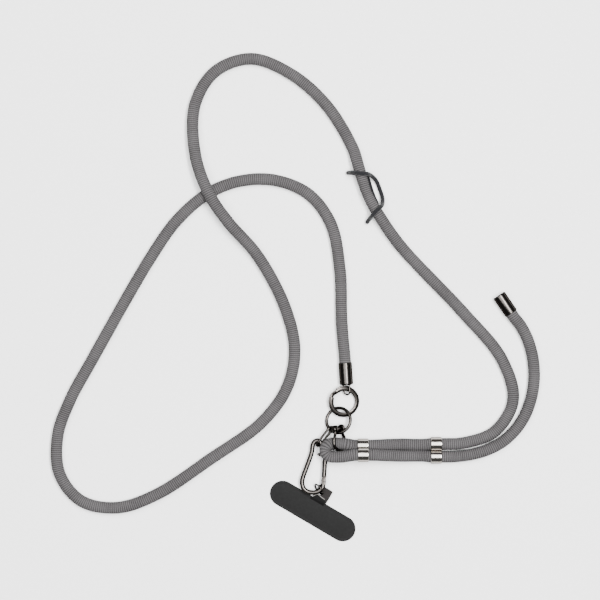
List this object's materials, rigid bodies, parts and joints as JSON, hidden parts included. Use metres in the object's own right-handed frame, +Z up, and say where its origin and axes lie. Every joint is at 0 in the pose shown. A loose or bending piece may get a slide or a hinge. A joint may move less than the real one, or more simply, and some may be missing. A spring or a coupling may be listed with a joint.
{
  "type": "phone crossbody strap",
  "caption": "Round cord strap lying in loose loops, folded through two double sliders, with capped ends, rings, a sprung carabiner and a flat tab for a phone case.",
  "frame": {"origin": "middle of the strap's outline as it lies, on the surface that it lies on", "axes": "+Z up from the surface, +Y towards the top of the long loops, +X towards the plain capped tail"},
  "size_m": [0.3478, 0.3488, 0.0165],
  "materials": {
    "cord": "matt ribbed knit",
    "slider_metal": "polished black nickel",
    "dark_metal": "polished black nickel",
    "tab": "coated, satin",
    "webbing": "matt",
    "elastic": "matt"
  },
  "bodies": {
    "strap": {"rope_long_run": "cord", "rope_fold": "cord", "rope_tail": "cord", "slider_outer": "slider_metal", "slider_inner": "slider_metal", "cap_with_eye": "dark_metal", "cap_plain": "dark_metal", "split_ring": "dark_metal", "link_ring": "dark_metal", "shackle_bow": "dark_metal", "shackle_pin": "dark_metal", "connector_link": "dark_metal", "carabiner_body": "dark_metal", "phone_tab": "tab", "tab_strap": "webbing", "tab_ring": "dark_metal", "elastic_loop": "elastic"},
    "gate": {"carabiner_gate": "dark_metal"}
  },
  "joints": [
    {"name": "gate_hinge", "type": "hinge", "parent": "strap", "child": "gate", "pos_m": [0.02031, -0.13042, 0.00496], "axis": [0, 0.0339, 0.9994], "range_deg": [0, 24], "stiffness_Nm_per_rad": 0.02, "springref_deg": -20.05}
  ]
}
